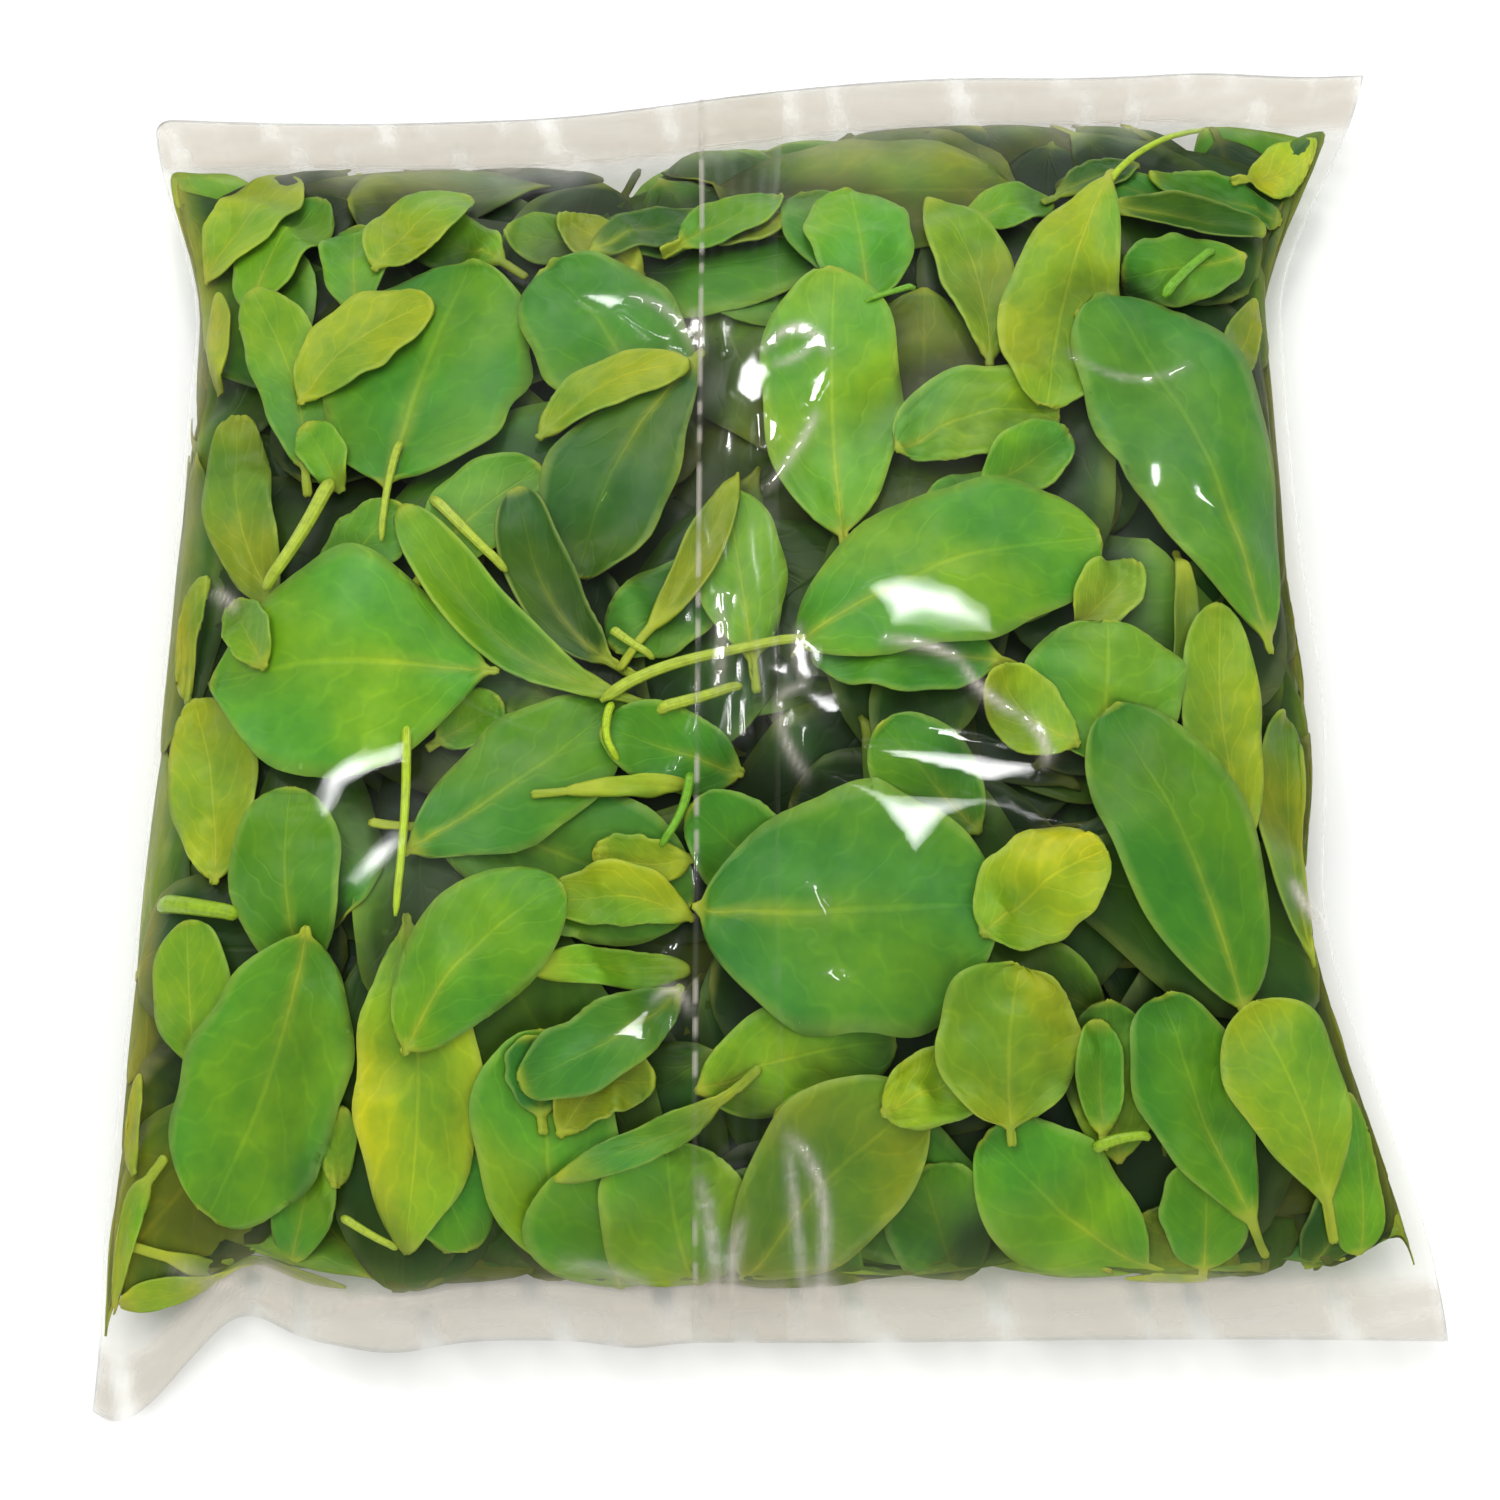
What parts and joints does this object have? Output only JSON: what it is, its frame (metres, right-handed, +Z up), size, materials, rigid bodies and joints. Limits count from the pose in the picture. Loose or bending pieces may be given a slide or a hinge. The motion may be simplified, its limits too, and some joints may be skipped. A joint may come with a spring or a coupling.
{
  "type": "bag of spinach",
  "caption": "Sealed clear pillow bag filled with loose baby spinach leaves, lying flat with its back seam up.",
  "frame": {"origin": "on the table, below the middle of the bag's box", "axes": "+X across the bag, +Y towards its top seal, +Z up, out of the shown back of the bag"},
  "size_m": [0.2684, 0.2962, 0.0626],
  "materials": {
    "film": "clear glossy film with green leaves right behind it",
    "leaf": "fresh leaf, satin; used by the looks, inside the film"
  },
  "bodies": {
    "root": {"spinach_bag": "film"}
  },
  "joints": []
}
